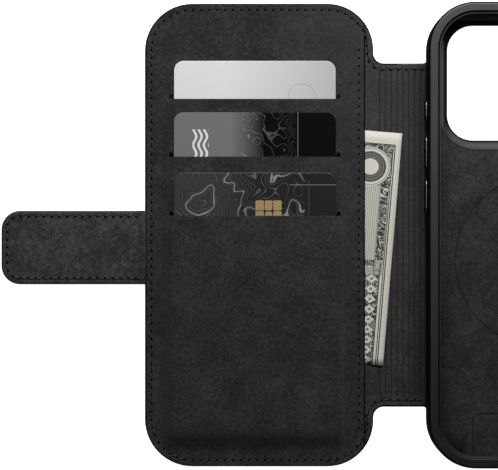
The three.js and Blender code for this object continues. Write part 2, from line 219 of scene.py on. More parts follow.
class Paint:
    # one material; place is the piece's rest position in mm
    def __init__(self, name, onCad=False):
        self.material = bpy.data.materials.new(name)
        self.material.use_nodes = True
        self.tree = self.material.node_tree
        self.surface = self.tree.nodes["Principled BSDF"]
        if onCad:
            found = self.node("TexCoord", {}, {}, "Object")
            self.place = self.node("VectorMath", {"operation": "SCALE"}, {0: found, 3: 1 / mm})
        else:
            self.place = self.node("Attribute", {"attribute_name": "restPlace"}, {}, "Vector")

    def feed(self, socket, value):
        if isinstance(value, Field):
            self.tree.links.new(value.socket, socket)
        elif isinstance(value, (tuple, list)) and len(value) == 3 and socket.type == "RGBA":
            socket.default_value = (*value, 1)
        else:
            socket.default_value = value

    def node(self, kind, settings, inputs, output=0):
        made = self.tree.nodes.new("ShaderNode" + kind)
        for key, value in settings.items():
            if key == "stops":
                ramp = made.color_ramp
                while len(ramp.elements) < len(value):
                    ramp.elements.new(0.5)
                for element, (where, tone) in zip(ramp.elements, value):
                    element.position = where
                    element.color = (*tone, 1) if isinstance(tone, tuple) else (tone, tone, tone, 1)
            else:
                setattr(made, key, value)
        for key, value in inputs.items():
            self.feed(made.inputs[key], value)
        return Field(self, made.outputs[output])

    def noise(self, size, detail=3, rough=0.55, stretch=None, twist=0):
        where = self.place
        if stretch:
            where = self.node("VectorMath", {"operation": "MULTIPLY"}, {0: where, 1: stretch})
        inputs = {"Vector": where, "Scale": 1 / size, "Detail": detail, "Roughness": rough}
        return self.node("TexNoise", {}, {**inputs, "Distortion": twist}, "Fac")

    def cells(self, size, feature="F1"):
        inputs = {"Vector": self.place, "Scale": 1 / size, "Randomness": 1.0}
        return self.node("TexVoronoi", {"feature": feature}, inputs, "Distance")

    def ramp(self, value, *stops):
        return self.node("ValToRGB", {"stops": stops}, {0: value}, "Color")

    def mix(self, share, first, second):
        return self.node("Mix", {"data_type": "RGBA"}, {0: share, 6: first, 7: second}, 2)

    def parts(self, vector=None):
        made = self.tree.nodes.new("ShaderNodeSeparateXYZ")
        self.tree.links.new((vector or self.place).socket, made.inputs[0])
        return [Field(self, made.outputs[i]) for i in range(3)]

    def set(self, **values):
        for key, value in values.items():
            name = "".join(" " + c if c.isupper() else c for c in key).strip()
            self.feed(self.surface.inputs[name.replace("Specular Level", "Specular IOR Level")], value)

    def bump(self, height, depth, strength=1.0):
        inputs = {"Height": height, "Distance": depth * mm, "Strength": strength}
        self.feed(self.surface.inputs["Normal"], self.node("Bump", {}, inputs))


# materials
def grey(tone):
    return (tone, tone, tone)


def suede(name, tone, coarse=1.0, onCad=False, ribbed=False, paintedLightFrom=None):
    # short nap: soft clouds, finger marks and a fine pebble; the optional start point and share add painted
    # light, paler from there towards +X and +Y
    look = Paint(name, onCad)
    clouds = look.noise(9, 3)
    mottle = look.noise(1.25 * coarse, 3, 0.65)
    nap = look.noise(0.42 * coarse, 2, 0.7)
    blend = clouds * 0.25 + mottle * 0.4 + nap * 0.35
    shade = look.ramp(blend, (0.42, grey(tone * 0.5)), (0.5, grey(tone)), (0.6, grey(tone * 1.9)))
    x, y = look.parts()[:2]
    if paintedLightFrom:
        startX, startY, share = paintedLightFrom
        paintedLightShare = ((x - startX) / 40).clamped() * ((y - startY) / 80).clamped() * share
        shade = look.mix(paintedLightShare, shade, grey(tone * 2))
    if ribbed:
        # painted shade along the rib grooves, with fainter dark lines at a third of the pitch
        along = x - hide["firstGroove"]
        away = abs((along / hide["ribPitch"] + 0.5).fraction() - 0.5)
        fine = abs((along / hide["ribPitch"] * 3 + 0.5).fraction() - 0.5)
        line = (1 - away * 7).clamped() + (1 - fine * 4).clamped() * 0.25
        onSpine = ((along + 0.6) * 4).clamped()
        inside = ((hide["spineHalf"] - 1.6 - abs(y)) * 1.5).clamped()
        shade = look.mix((line * onSpine * inside).clamped() * 0.75, shade, grey(tone * 0.15))
    look.set(BaseColor=shade)
    look.set(Roughness=look.noise(3, 2) * 0.12 + 0.84)
    look.set(SheenWeight=0.2, SheenRoughness=0.45, SheenTint=grey(0.75), SpecularLevel=0.2)
    look.bump(nap * 0.5 + mottle * 0.6, 0.11)
    return look.material


def leather(name, tone):
    look = Paint(name)
    grain = look.cells(1.05, "SMOOTH_F1")
    fine = look.cells(0.42)
    creases = look.noise(6, 4, 0.6, twist=0.6)
    height = grain * 0.7 + fine * 0.3 + creases * 0.25
    look.set(BaseColor=look.mix(creases, grey(tone * 0.75), (tone * 1.3, tone * 1.26, tone * 1.25)))
    look.set(Roughness=grain * 0.25 + creases * 0.2 + 0.36)
    look.set(SpecularLevel=0.45)
    look.bump(height, 0.09, 0.9)
    return look.material


def edgePaint(name, tone):
    look = Paint(name)
    wear = look.noise(2.2, 4)
    look.set(BaseColor=look.ramp(wear, (0.35, grey(tone)), (0.8, grey(tone * 1.8))))
    look.set(Roughness=wear * 0.3 + 0.5, SpecularLevel=0.08)
    look.bump(look.noise(0.5, 3) + wear, 0.05)
    return look.material


def elastomer(name, tone):
    # moulded skin with a random handling mottle; painted light makes it paler towards the +Y end
    look = Paint(name)
    fine = look.noise(0.16, 2, 0.7)
    handling = look.noise(7, 3, 0.6)
    y = look.parts()[1]
    paintedLightAndMottle = ((y + 62) / 100).clamped() * 0.9 + handling * 0.2
    look.set(BaseColor=look.mix(paintedLightAndMottle.clamped(), grey(tone * 0.3), grey(tone * 3.1)))
    look.set(Roughness=handling * 0.1 + fine * 0.08 + 0.36)
    look.set(SpecularLevel=0.35)
    look.bump(fine, 0.015, 0.6)
    return look.material


def plastic(name, tone, rough, onCad=False, shine=0.5, depth=0.015):
    look = Paint(name, onCad)
    fine = look.noise(0.25, 2, 0.6)
    broad = look.noise(12, 2)
    look.set(BaseColor=look.ramp(broad, (0.3, grey(tone * 0.85)), (0.7, grey(tone * 1.15))))
    look.set(Roughness=fine * 0.1 + rough, SpecularLevel=shine)
    look.bump(fine, depth, 0.6)
    return look.material


def wallPaintedShadeAndLight(name, dark, light, share):
    # the sloped wall round the camera opening: painted shade, with painted light on its lower side, which
    # faces the lamp
    look = Paint(name)
    y = look.parts()[1]
    lower = ((bezel["y0"] + bezel["corner"] * 0.75 - y) / bezel["corner"]).clamped()
    fine = look.noise(0.25, 2, 0.6)
    look.set(BaseColor=look.mix((lower * share).clamped(), grey(dark), grey(light)))
    look.set(Roughness=fine * 0.1 + 0.65, SpecularLevel=0.08)
    look.bump(fine, 0.015, 0.6)
    return look.material


def satinMetal(name, tone, rough, grainSize=0.12, onCad=False):
    look = Paint(name, onCad)
    grain = look.noise(grainSize, 2, 0.6)
    broad = look.noise(5, 2)
    low = tuple(c * 0.86 for c in tone)
    look.set(BaseColor=look.mix(broad, low, tone))
    look.set(Metallic=0.2 * broad + 0.8)
    look.set(Roughness=grain * 0.16 + rough)
    look.bump(grain, 0.008, 0.5)
    return look.material


def threadFinish(name, tone):
    look = Paint(name)
    twist = look.noise(0.22, 2, 0.6, stretch=(1, 1, 3))
    look.set(BaseColor=look.ramp(twist, (0.3, grey(tone * 0.6)), (0.7, grey(tone * 1.3))))
    look.set(Roughness=twist * 0.2 + 0.55, SpecularLevel=0.3)
    look.bump(twist, 0.05)
    return look.material


# near black: painted shade for needle holes, the strips beside threads and the hem's shadow line
def paintedShadeBlackFinish(name):
    look = Paint(name)
    look.set(BaseColor=look.ramp(look.noise(0.4, 2), (0.3, grey(0.0008)), (0.8, grey(0.002))))
    look.set(Roughness=0.95, SpecularLevel=0.05)
    return look.material


def boardFinish(name):
    look = Paint(name, onCad=True)
    fibre = look.noise(0.8, 4, 0.7, stretch=(1, 0.25, 1))
    look.set(BaseColor=look.mix(fibre, (0.012, 0.011, 0.01), (0.03, 0.028, 0.026)))
    look.set(Roughness=fibre * 0.1 + 0.85)
    look.bump(fibre, 0.04)
    return look.material


bezel = {
    "halfWidth": 30.95,
    "y0": 31.8,
    "y1": 70.2,
    "corner": 8.5,
    "slope": 1.3,
    "neck": 2.35,
    "flangeCorner": 12.9,
    "flangeZ": 2.5,
    "foot": 0.02,
}
tones = {
    "lining": 0.0145,
    "strap": 0.026,
    "spineLining": 0.021,
    "leather": 0.012,
    "edge": 0.0025,
    "elastomer": 0.007,
    "bezel": 0.05,
    "thread": 0.017,
    "strapThread": 0.04,
    "strapEdge": 0.02,
}
liningSuede = suede("liningSuede", tones["lining"])
pressedSuede = suede("pressedSuede", tones["lining"] * 0.42)
# the panel and spine suedes carry painted light that grows towards +X and +Y
panelSuede = suede("panelSuede", tones["lining"], paintedLightFrom=(-90, -10, 0.6))
strapSuede = suede("strapSuede", tones["strap"], coarse=1.25)
spineSuede = suede("spineSuede", tones["spineLining"] * 0.9, ribbed=True, paintedLightFrom=(-90, -60, 0.4))
backLeather = leather("backLeather", tones["leather"])
paintedEdge = edgePaint("paintedEdge", tones["edge"])
bumperSkin = elastomer("bumperSkin", tones["elastomer"])
# bumperSidePaintedShade is a dark copy of the skin, painted shade on walls and roundings;
# bumperBevelPaintedLight is a lighter copy, painted light on the lit bevel
bumperSidePaintedShade = plastic("bumperSidePaintedShade", tones["elastomer"] * 0.2, 0.6, shine=0.07)
bumperBevelPaintedLight = plastic("bumperBevelPaintedLight", tones["elastomer"], 0.55, shine=0.15)
bezelSkin = plastic("bezelSkin", tones["bezel"], 0.5, shine=0.2)
# painted shade on the camera opening's wall and chamfer, with painted light on their lower side
bezelWallPaintedShadeAndLight = wallPaintedShadeAndLight("bezelWallPaintedShadeAndLight", 0.004, tones["bezel"], 0.2)
bezelSlopePaintedShadeAndLight = wallPaintedShadeAndLight("bezelSlopePaintedShadeAndLight", 0.006, tones["bezel"], 1.5)
thread = threadFinish("thread", tones["thread"])
strapThread = threadFinish("strapThread", tones["strapThread"])
strapEdge = plastic("strapEdge", tones["strapEdge"], 0.45, depth=0.003)
paintedShadeBlack = paintedShadeBlackFinish("paintedShadeBlack")
buttonMetal = satinMetal("buttonMetal", (0.42, 0.42, 0.43), 0.42)
contactGold = satinMetal("contactGold", (0.86, 0.62, 0.27), 0.22)
print("materials ready")


# mesh tools
def rectCorners(x0, y0, x1, y1, left, right=None):
    right = left if right is None else right
    return [(x0, y0, left), (x1, y0, right), (x1, y1, right), (x0, y1, left)]


def bevel(bm, geom, radius, segments, kind="EDGES"):
    bmesh.ops.bevel(
        bm, geom=geom, offset=radius, offset_type="OFFSET", segments=segments,
        profile=0.5, affect=kind, material=-1,
    )


def bevelCorners(bm, points, corners, segments):
    for point, (x, y, radius) in zip(points, corners):
        if radius > 0:
            bevel(bm, [point], radius, segments, "VERTICES")


def roundFace(bm, corners, z, segments=12):
    points = [bm.verts.new((x, y, z)) for x, y, radius in corners]
    bm.faces.new(points)
    bevelCorners(bm, points, corners, segments)


def roundLoop(bm, corners, z, segments):
    before = set(bm.edges)
    points = [bm.verts.new((x, y, z)) for x, y, radius in corners]
    for i, point in enumerate(points):
        bm.edges.new((points[i - 1], point))
    bevelCorners(bm, points, corners, segments)
    return [edge for edge in bm.edges if edge not in before]


def bridgeStack(bm, loops, closed=False):
    # the loops stand one above another while they are joined, so that none is joined with a twist
    rings = [{vert for edge in loop for vert in edge.verts} for loop in loops]
    for level, ring in enumerate(rings):
        bmesh.ops.translate(bm, vec=(0, 0, level), verts=list(ring))
    for first, second in zip(loops, loops[1:]):
        bmesh.ops.bridge_loops(bm, edges=first + second)
    if closed:
        bmesh.ops.bridge_loops(bm, edges=loops[-1] + loops[0])
    for level, ring in enumerate(rings):
        bmesh.ops.translate(bm, vec=(0, 0, -level), verts=list(ring))


def extrude(bm, faces, lift):
    grown = bmesh.ops.extrude_face_region(bm, geom=faces)
    moved = [item for item in grown["geom"] if isinstance(item, bmesh.types.BMVert)]
    bmesh.ops.translate(bm, vec=(0, 0, lift), verts=moved)


def insetCaps(bm, axis, width):
    # a ring inside each face square to the axis keeps the rim's shading off its middle
    caps = [face for face in bm.faces if abs(face.normal[axis]) > 0.999]
    bmesh.ops.inset_individual(bm, faces=caps, thickness=width, use_even_offset=True)


def thicken(piece, thickness):
    # the sheet's upper face stays where it is
    wall = piece.modifiers.new("thickness", "SOLIDIFY")
    wall.thickness = thickness
    wall.offset = -1
    return wall


def everything(bm):
    return bm.verts[:] + bm.edges[:] + bm.faces[:]


def cut(bm, axis, places):
    normal = (1, 0, 0) if axis == "x" else (0, 1, 0)
    for place in places:
        bmesh.ops.bisect_plane(
            bm, geom=everything(bm), dist=1e-5, plane_co=[place * n for n in normal], plane_no=normal
        )


def steps(start, end, spacing):
    count = max(1, round(abs(end - start) / spacing))
    return [start + (end - start) * i / count for i in range(count + 1)]


def restPlace(mesh):
    # the position in mm, kept when the piece bends
    found = mesh.attributes.get("restPlace")
    layer = found or mesh.attributes.new("restPlace", "FLOAT_VECTOR", "POINT")
    for vert, item in zip(mesh.vertices, layer.data):
        item.vector = vert.co / mm


def finishPiece(bm, name, materials, facing=None, sharp=38):
    bmesh.ops.remove_doubles(bm, verts=bm.verts, dist=1e-4)
    bmesh.ops.recalc_face_normals(bm, faces=bm.faces)
    if facing and sum(face.normal.dot(Vector(facing)) * face.calc_area() for face in bm.faces) < 0:
        bmesh.ops.reverse_faces(bm, faces=bm.faces)
    bmesh.ops.scale(bm, vec=(mm, mm, mm), verts=bm.verts)
    mesh = bpy.data.meshes.new(name)
    bm.to_mesh(mesh)
    bm.free()
    for material in materials:
        mesh.materials.append(material)
    mesh.shade_smooth()
    mesh.set_sharp_from_angle(angle=math.radians(sharp))
    restPlace(mesh)
    made = linked(name, mesh)
    print("made", name, len(mesh.polygons))
    return made


def paintRim(bm):
    # the edge paint takes the narrow ring round a sheet's upper face, its roundings and its sides
    middle = sum(vert.co.z for vert in bm.verts) / len(bm.verts)
    largest = max(face.calc_area() for face in bm.faces)
    for face in bm.faces:
        if face.calc_center_median().z > middle and face.calc_area() < largest * 0.5:
            face.material_index = 1


def sheetSolid(corners, low, high, edge, seams=(), arcSteps=14):
    # a flat sheet with a thickness and rounded rims; seams are the X positions left square
    bm = bmesh.new()
    roundFace(bm, corners, low, arcSteps)
    extrude(bm, bm.faces[:], high - low)
    bmesh.ops.recalc_face_normals(bm, faces=bm.faces)
    for level in (low, high):
        rim = [
            e for e in bm.edges
            if all(abs(v.co.z - level) < tiny for v in e.verts)
            and not any(all(abs(v.co.x - seam) < tiny for v in e.verts) for seam in seams)
        ]
        bevel(bm, rim, edge, 3)
    for face in bm.faces:
        if abs(face.normal.z) < 0.75:
            face.material_index = 1
    insetCaps(bm, 2, 0.35)
    return bm


# shell: bumper frame
bumper = {
    "corner": 15.6,
    "lipFlat": 3.1,
    "lipBevel": 1.05,
    "lipThick": 0.7,
    "cavityHalfWidth": 36.15,
    "cavityHalfLength": 75.2,
    "cavityCorner": 13.4,
    "slotPlay": 0.15,
    "slotDepth": 8,
    "portDepth": 6,
    "portHalf": (6.6, 3.3),
    "sideSlotX": 16.5,
    "sideSlotHalf": (6.5, 1.4),
    "litBevelReach": 20,  # so far from the -Y end the +Y-facing bevel takes the bevel copy, painted light that is lighter than the side copy
}
carvedSharp = 32  # degrees
buttonNodes = {
    "action_button": "action_key",
    "volume_up_button": "volume_up_key",
    "volume_down_button": "volume_down_key",
    "side_button": "side_key",
    "camera_control_button": "camera_key",
}


def pillBar(bm, turn, centre, halfLong, halfHigh, depth):
    # a slot-shaped bar along X or Y through a wall
    before = set(bm.verts)
    start = bmesh.new()
    corners = rectCorners(-halfLong, -halfHigh, halfLong, halfHigh, halfHigh - 0.01)
    roundFace(start, corners, -depth / 2, 6)
    extrude(start, start.faces[:], depth)
    bmesh.ops.recalc_face_normals(start, faces=start.faces)
    holder = bpy.data.meshes.new("bar")
    start.to_mesh(holder)
    start.free()
    bm.from_mesh(holder)
    bpy.data.meshes.remove(holder)
    fresh = [vert for vert in bm.verts if vert not in before]
    bmesh.ops.transform(bm, matrix=Matrix.Translation(centre) @ turn, verts=fresh)


throughSide = Matrix(((0, 0, 1, 0), (1, 0, 0, 0), (0, 1, 0, 0), (0, 0, 0, 1)))  # local x to Y, y to Z
throughEnd = Matrix(((1, 0, 0, 0), (0, 0, -1, 0), (0, 1, 0, 0), (0, 0, 0, 1)))  # local x to X, y to Z


def carve(piece, cutterMesh):
    mesh = bpy.data.meshes.new("cutter")
    bmesh.ops.scale(cutterMesh, vec=(mm, mm, mm), verts=cutterMesh.verts)
    cutterMesh.to_mesh(mesh)
    cutterMesh.free()
    cutter = linked("cutter", mesh)
    change = piece.modifiers.new("carve", "BOOLEAN")
    change.object = cutter
    change.operation = "DIFFERENCE"
    change.solver = "EXACT"
    bpy.context.view_layer.update()
    carved = bpy.data.meshes.new_from_object(piece.evaluated_get(bpy.context.evaluated_depsgraph_get()))
    piece.modifiers.clear()
    piece.data = carved
    bpy.data.objects.remove(cutter)
    carved.shade_smooth()
    carved.set_sharp_from_angle(angle=math.radians(carvedSharp))
    restPlace(carved)


def makeBumper(size):
    halfX, halfY = shellHigh.x, shellHigh.y
    bottom, top = shellLow.z, shellHigh.z
    corner = size["corner"]
    lip = size["lipFlat"]
    mouth = lip + size["lipBevel"]
    under = top - size["lipThick"]

    def outside(inset, z):
        x, y = halfX - inset, halfY - inset
        return (rectCorners(-x, -y, x, y, corner - inset), z)

    def inside(grow, z):
        x, y = size["cavityHalfWidth"] + grow, size["cavityHalfLength"] + grow
        return (rectCorners(-x, -y, x, y, size["cavityCorner"] + grow), z)

    stations = [
        outside(0.95, bottom),
        outside(0.35, bottom + 0.12),
        outside(0.06, bottom + 0.45),
        outside(0, bottom + 1),
        outside(0, top - 1.2),
        outside(0.05, top - 0.85),
        outside(0.17, top - 0.53),
        outside(0.34, top - 0.27),
        outside(0.56, top - 0.1),
        outside(0.85, top - 0.02),
        outside(1.0, top),
        outside(1.1, top),
        outside(lip - 0.3, top),
        outside(lip - 0.2, top),
        outside(lip - 0.04, top - 0.03),
        outside(lip + 0.06, top - 0.1),
        outside(lip + 0.12, top - 0.17),
        outside(lip + 0.45, under + 0.12),
        outside(lip + 0.52, under + 0.06),
        outside(lip + 0.62, under + 0.04),
        outside(mouth - 0.12, under + 0.02),
        outside(mouth - 0.02, under - 0.02),
        outside(mouth, under - 0.12),
        outside(mouth - 0.12, under - 0.22),
        outside(mouth - 0.4, under - 0.25),
        inside(-0.5, under - 0.25),
        inside(-0.12, under - 0.35),
        inside(0, under - 0.7),
        inside(0, bottom + 0.2),
        inside(0.1, bottom),
    ]
    bm = bmesh.new()
    loops = [roundLoop(bm, corners, z, 18) for corners, z in stations]
    bridgeStack(bm, loops, closed=True)
    bm.normal_update()
    for face in bm.faces:
        # walls and roundings take the dark painted-shade copy; the +Y-facing bevel near the -Y end takes the
        # painted-light copy
        isLitLowBevel = face.calc_center_median().y < size["litBevelReach"] - halfY and face.normal.y > 0.1
        if abs(face.normal.z) < 0.94:
            face.material_index = 2 if isLitLowBevel and abs(face.normal.z) > 0.5 else 1
    piece = finishPiece(bm, "bumper", [bumperSkin, bumperSidePaintedShade, bumperBevelPaintedLight], sharp=carvedSharp)
    cutters = bmesh.new()
    for node in buttonNodes:
        low, high = span(node)
        halfLong = (high.y - low.y) / 2 + size["slotPlay"]
        halfHigh = (high.z - low.z) / 2 + size["slotPlay"]
        pillBar(cutters, throughSide, (low + high) / 2, halfLong, halfHigh, size["slotDepth"])
    wallY = -(halfY + size["cavityHalfLength"]) / 2
    buttonZ = (span("action_button")[0].z + span("action_button")[1].z) / 2
    pillBar(cutters, throughEnd, Vector((0, wallY, buttonZ)), *size["portHalf"], size["portDepth"])
    for side in (-1, 1):
        centre = Vector((side * size["sideSlotX"], wallY, buttonZ))
        pillBar(cutters, throughEnd, centre, *size["sideSlotHalf"], size["portDepth"])
    carve(piece, cutters)
    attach(piece, "shell")
    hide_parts("bumper_frame")


makeBumper(bumper)


# buttons
buttonShape = {"round": 0.22, "metal": 0.4, "ring": 0.2}


def makeButtons(size):
    for node, body in buttonNodes.items():
        low, high = span(node)
        whole = high - low
        bm = bmesh.new()
        pillBar(bm, throughSide, (low + high) / 2, whole.y / 2, whole.z / 2, whole.x)
        for x in (low.x, high.x):
            rim = [e for e in bm.edges if all(abs(v.co.x - x) < tiny for v in e.verts)]
            bevel(bm, rim, size["round"], 4)
        insetCaps(bm, 0, size["ring"])
        cut(bm, "x", [low.x + size["metal"], high.x - size["metal"]])
        # all but the outer band of each cap takes the bumper's dark copy, painted shade that narrows the
        # glint
        for face in bm.faces:
            reach = max(abs(low.x), abs(high.x)) - abs(face.calc_center_median().x)
            face.material_index = int(reach > size["metal"])
        piece = finishPiece(bm, node + "_cap", [buttonMetal, bumperSidePaintedShade])
        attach(piece, body)
        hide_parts(node)


makeButtons(buttonShape)


# shell: camera surround; its settings stand with the materials, which use them too
def makeBezel(size):
    low, high = span("camera_bezel")
    top, foot = high.z, size["foot"]

    def opening(grow, z):
        x = size["halfWidth"] + grow
        return (rectCorners(-x, size["y0"] - grow, x, size["y1"] + grow, size["corner"] + grow), z)

    def flange(inset, z):
        x0, y0, x1, y1 = low.x + inset, low.y + inset, high.x - inset, high.y - inset
        return (rectCorners(x0, y0, x1, y1, size["flangeCorner"] - inset), z)

    slope = size["slope"]
    stations = [
        opening(0, 0.25),
        opening(0.06, 0.5),
        opening(slope - 0.55, top - 0.42),
        opening(slope - 0.42, top - 0.3),
        opening(slope - 0.3, top - 0.24),
        opening(slope + 0.2, top - 0.16),
        opening(slope + 0.6, top - 0.1),
        opening(slope + 1.1, top),
        flange(0.45, top),
        flange(0.12, top - 0.02),
        flange(0, top - 0.12),
        flange(0, size["flangeZ"]),
        opening(size["neck"], size["flangeZ"]),
        opening(size["neck"], 0.15),
        opening(size["neck"] - 0.1, foot),
        opening(0.3, foot),
    ]
    bm = bmesh.new()
    loops = [roundLoop(bm, corners, z, 14) for corners, z in stations]
    bridgeStack(bm, loops, closed=True)
    # faces down the wall take the painted-shade wall paint; the chamfer takes painted shade with painted
    # light on its lower side
    for face in bm.faces:
        middle = face.calc_center_median()
        across = max(abs(middle.x) - size["halfWidth"], size["y0"] - middle.y, middle.y - size["y1"])
        onSlope = across < slope + 0.2
        face.material_index = 1 if middle.z < top - 0.3 else 2 * int(onSlope)
    piece = finishPiece(bm, "camera_surround", [bezelSkin, bezelWallPaintedShadeAndLight, bezelSlopePaintedShadeAndLight])
    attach(piece, "shell")
    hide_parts("camera_bezel")


makeBezel(bezel)


# shell: tray lining
pressed = {
    "ringY": -8.7,
    "ringLines": [(28.55, 0.26, 0.2), (23.5, 0.2, 0.04)],
    "archHalfWidth": 22.9,
    "archTop": -59.8,
    "archCorner": 2.8,
    "archStart": 0.9,
    "archSteps": [(-0.35, 0), (-0.2, 0.02), (0, 0.2), (0.2, 0.2), (0.45, 0.03), (0.8, 0)],
    "corner": 13.25,
    "openingCorner": 13.0,
    "gap": 0.12,
    "darkFrom": 0.045,
}


def makeTrayLining(size):
    low, high = span("tray_lining")
    top, bottom = high.z, low.z
    bezelLow, bezelHigh = span("camera_bezel")
    bm = bmesh.new()
    outer = roundLoop(bm, rectCorners(low.x, low.y, high.x, high.y, size["corner"]), top, 14)
    gap = size["gap"]
    x0, y0, x1, y1 = bezelLow.x - gap, bezelLow.y - gap, bezelHigh.x + gap, bezelHigh.y + gap
    hole = roundLoop(bm, rectCorners(x0, y0, x1, y1, size["openingCorner"]), top, 14)

    def circle(radius, z):
        before = set(bm.edges)
        bmesh.ops.create_circle(
            bm, cap_ends=False, segments=120, radius=radius, matrix=Matrix.Translation((0, size["ringY"], z))
        )
        return [edge for edge in bm.edges if edge not in before]

    circles = []
    for radius, half, depth in size["ringLines"]:
        for step in (-1.8, -1, -0.45, 0, 0.45, 1, 1.8):
            drop = depth * max(0.0, 1 - step * step) ** 0.7
            circles.append(circle(radius - step * half, top - drop))
    bridgeStack(bm, circles)
    bmesh.ops.edgeloop_fill(bm, edges=circles[-1])
    half = size["archHalfWidth"]
    arch = []
    for inset, drop in size["archSteps"]:
        x, y0, y1 = half - inset, low.y + size["archStart"], size["archTop"] - inset
        radius = size["archCorner"] - inset
        corners = [(-x, y0, 0), (x, y0, 0), (x, y1, radius), (-x, y1, radius)]
        arch.append(roundLoop(bm, corners, top - drop, 8))
    bridgeStack(bm, arch)
    bmesh.ops.edgeloop_fill(bm, edges=arch[-1])
    bmesh.ops.triangle_fill(bm, edges=outer + hole + circles[0] + arch[0], use_beauty=True)
    for face in bm.faces:
        face.material_index = 2 if face.calc_center_median().z < top - size["darkFrom"] else 0
    piece = finishPiece(bm, "tray_lining_sheet", [liningSuede, paintedEdge, pressedSuede], facing=(0, 0, 1))
    thicken(piece, (top - bottom) * mm * 0.9)
    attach(piece, "shell")
    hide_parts("tray_lining")


makeTrayLining(pressed)


# cover and spine outlines
seamX = hide["firstGroove"] + hide["seamGroove"] * hide["ribPitch"]


def coverOutline(inset, seam):
    # the cover and the near part of the spine, with hollow fillets between them
    x0, halfY = coverLow.x + inset, coverHigh.y - inset
    x1, half = foldX["cover_fold"] - inset, hide["spineHalf"] - inset
    free, fold, flare = hide["cornerFree"] - inset, hide["cornerFold"] - inset, hide["flare"] + inset
    return [
        (x0, -halfY, free), (x1, -halfY, fold), (x1, -half, flare), (seam, -half, 0),
        (seam, half, 0), (x1, half, flare), (x1, halfY, fold), (x0, halfY, free),
    ]


def foldCuts(fold, count=8):
    return steps(fold - foldReach, fold + foldReach, 2 * foldReach / count)


def blendAcross(piece, fold):
    # the fold's two ends are worked out but not used; only the piece's transform is baked
    start = ((foldX[fold] + foldReach) * mm, 0, hinges[fold][2])
    end = ((foldX[fold] - foldReach) * mm, 0, hinges[fold][2])
    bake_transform(piece)


def flatArea(corners):
    # the area of a face with rounded corners, in square mm
    bm = bmesh.new()
    roundFace(bm, corners, 0)
    area = sum(face.calc_area() for face in bm.faces)
    bm.free()
    return area


def declareSheet(corners):
    xs, ys = [c[0] for c in corners], [c[1] for c in corners]
    flat = ((max(xs) - min(xs)) * mm, (max(ys) - min(ys)) * mm)
    flatArea(corners) * mm * mm


# outer leather
def makeOuterLeather():
    corners = coverOutline(-hide["proud"], seamX)
    bm = sheetSolid(corners, 0, hide["leatherTop"], hide["edge"], seams=[seamX])
    paintRim(bm)
    cut(bm, "x", foldCuts(foldX["cover_fold"]))
    cut(bm, "x", steps(-130, -60, 10))
    cut(bm, "y", steps(-70, 70, 10))
    piece = finishPiece(bm, "outer_leather_cover", [backLeather, paintedEdge])
    blendAcross(piece, "cover_fold")
    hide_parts("cover_leather", "spine_leather")
    declareSheet(corners)

    inset = hide["shellInset"]
    x1, y1 = shellHigh.x - inset, shellHigh.y - inset
    half = hide["spineHalf"] + hide["proud"]
    radius, flare = bumper["corner"] - inset, hide["shellFlare"]
    corners = [
        (-x1, -y1, radius), (x1, -y1, radius), (x1, y1, radius), (-x1, y1, radius),
        (-x1, half, flare), (seamX, half, 0), (seamX, -half, 0), (-x1, -half, flare),
    ]
    bm = sheetSolid(corners, 0, hide["leatherTop"], hide["edge"], seams=[seamX])
    cut(bm, "x", foldCuts(foldX["spine_fold"]))
    piece = finishPiece(bm, "outer_leather_shell", [backLeather, paintedEdge])
    opening = bmesh.new()
    grow = bezel["neck"] + 0.1
    x, openLow, openHigh = bezel["halfWidth"] + grow, bezel["y0"] - grow, bezel["y1"] + grow
    roundFace(opening, rectCorners(-x, openLow, x, openHigh, bezel["corner"] + grow), -2, 14)
    extrude(opening, opening.faces[:], 5)
    bmesh.ops.recalc_face_normals(opening, faces=opening.faces)
    carve(piece, opening)
    blendAcross(piece, "spine_fold")
    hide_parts("back_leather", "spine_leather")
    area = (flatArea(corners) - 2 * x * (openHigh - openLow)) * mm * mm


makeOuterLeather()


# cover lining and ribbed spine lining
ribs = {
    "depth": 0.3,
    "half": 0.5,
    "crown": 0.08,
    "endFade": 1.0,
    "endInset": 2.5,
    "inset": 0.34,
    "spineTop": 1.5,
    "coverTop": 1.88,
    "bottom": 1.02,
    "boardTop": 1.56,
    "boardRim": 0.7,
    "edge": 0.12,
    "wallGap": 0.25,
    "riseStart": 0.4,
    "riseReach": 2.4,
}


def liningRise(x, size):
    return smoothStep((foldX["cover_fold"] + size["riseStart"] - x) / size["riseReach"])


def ribHeight(x, y, size):
    along = (x - hide["firstGroove"]) / hide["ribPitch"]
    if x < hide["firstGroove"] - size["half"]:
        return 0.0
    away = abs(along - round(along)) * hide["ribPitch"]
    inGroove = max(0.0, 1 - away / size["half"])
    crown = size["crown"] * min(1.0, away / (hide["ribPitch"] / 2)) if along > 0 else 0
    fade = smoothStep((hide["spineHalf"] - size["endInset"] - abs(y)) / size["endFade"])
    return (crown - size["depth"] * inGroove ** 1.3) * fade


def ribCuts(bm, size, start, end):
    half = size["half"]
    places = set()
    groove = hide["firstGroove"]
    while groove < foldX["spine_fold"] + 2:
        for share in (-1, -0.6, -0.25, 0, 0.25, 0.6, 1):
            places.add(round(groove + half * share, 4))
        places.add(round(groove + hide["ribPitch"] / 2, 4))
        groove += hide["ribPitch"]
    cut(bm, "x", sorted(p for p in places if start < p < end))
    limit = hide["spineHalf"] - size["endInset"]
    for side in (-1, 1):
        cut(bm, "y", [side * (limit - f * size["endFade"]) for f in (0, 0.33, 0.66, 1)])
    cut(bm, "y", steps(-50, 50, 10))


